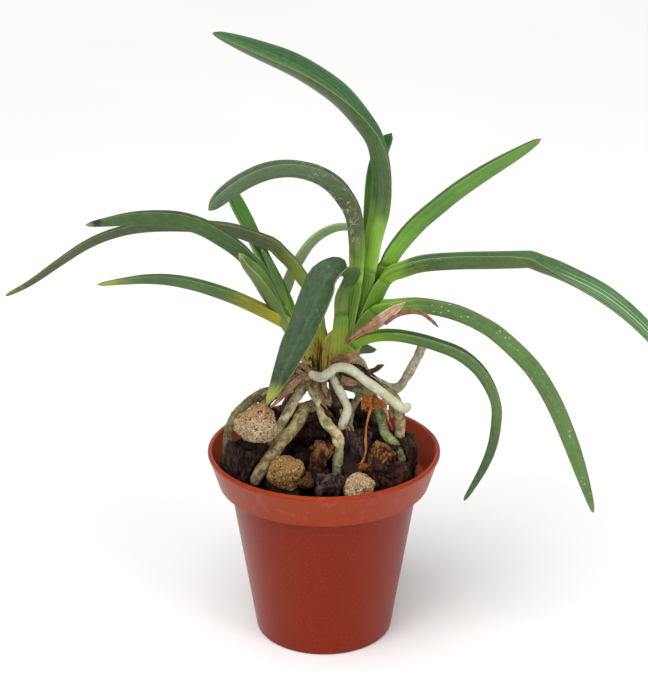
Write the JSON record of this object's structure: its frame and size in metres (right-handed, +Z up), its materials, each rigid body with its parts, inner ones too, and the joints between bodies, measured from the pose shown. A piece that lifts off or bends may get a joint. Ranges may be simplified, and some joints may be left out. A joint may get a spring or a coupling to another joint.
{
  "type": "potted wind orchid (Neofinetia falcata, now Vanda falcata)",
  "caption": "Young wind orchid with fans of folded arching leaves on thick pale roots, standing in bark and pumice in a small flared plastic nursery pot.",
  "frame": {"origin": "middle of the pot's flat underside, on the surface that it stands on", "axes": "+Z up; the front, with the tall leaf arching to the left and the long leaves drooping to the right, faces -Y; +X is to the right seen from the front"},
  "size_m": [0.1567, 0.055, 0.1468],
  "materials": {
    "pot_plastic": "moulded, satin to gloss, terracotta orange-brown",
    "potting_mix": "rough, matt, dark damp bark",
    "bark": "rough, matt, weathered bark",
    "pumice": "porous, matt, tan with dark pits",
    "dry_tissue": "papery, matt, straw brown",
    "bare_root_core": "fibrous, matt, orange brown",
    "young_root": "smooth, satin, pale grey-green",
    "root": "rough, matt, grey-green mottled with brown",
    "sheath": "smooth, satin, yellow-green",
    "young_leaf": "smooth, satin, light green",
    "leaf": "smooth, satin, mid green with pale margins"
  },
  "bodies": {
    "root": {"bare_root_core": "bare_root_core", "bark_back": "bark", "bark_back_left": "bark", "bark_behind": "bark", "bark_far_right": "bark", "bark_front": "bark", "bark_left": "bark", "bark_middle": "bark", "bark_orange": "bark", "bark_right": "bark", "bark_split": "bark", "dry_bract": "dry_tissue", "dry_sheath_foot": "dry_tissue", "dry_sheath_left": "dry_tissue", "dry_sheath_low": "dry_tissue", "dry_sheath_right": "dry_tissue", "dry_stalk": "dry_tissue", "dry_strip_hanging": "dry_tissue", "leaf_arching": "leaf", "leaf_front_bent": "leaf", "leaf_hooked": "leaf", "leaf_inner": "young_leaf", "leaf_kinked": "leaf", "leaf_left_back_arch": "leaf", "leaf_left_broad": "leaf", "leaf_left_long": "leaf", "leaf_left_low": "leaf", "leaf_left_short": "leaf", "leaf_left_sliver": "young_leaf", "leaf_left_upright": "young_leaf", "leaf_long": "leaf", "leaf_rising": "young_leaf", "leaf_small_back": "leaf", "leaf_tall": "leaf", "left_stem_and_sheaths": "sheath", "pot": "pot_plastic", "potting_bark": "potting_mix", "pumice_back": "pumice", "pumice_chip": "pumice", "pumice_front": "pumice", "pumice_large": "pumice", "pumice_right": "pumice", "right_stem_and_sheaths": "sheath", "root_aerial": "root", "root_back_left": "root", "root_back_middle": "root", "root_back_right": "root", "root_far_left": "root", "root_front": "root", "root_front_left": "root", "root_left": "root", "root_left_inner": "root", "root_right_green": "root", "root_right_inner": "root", "root_right_thick": "root", "root_young_long": "young_root", "root_young_short": "young_root"}
  },
  "joints": []
}
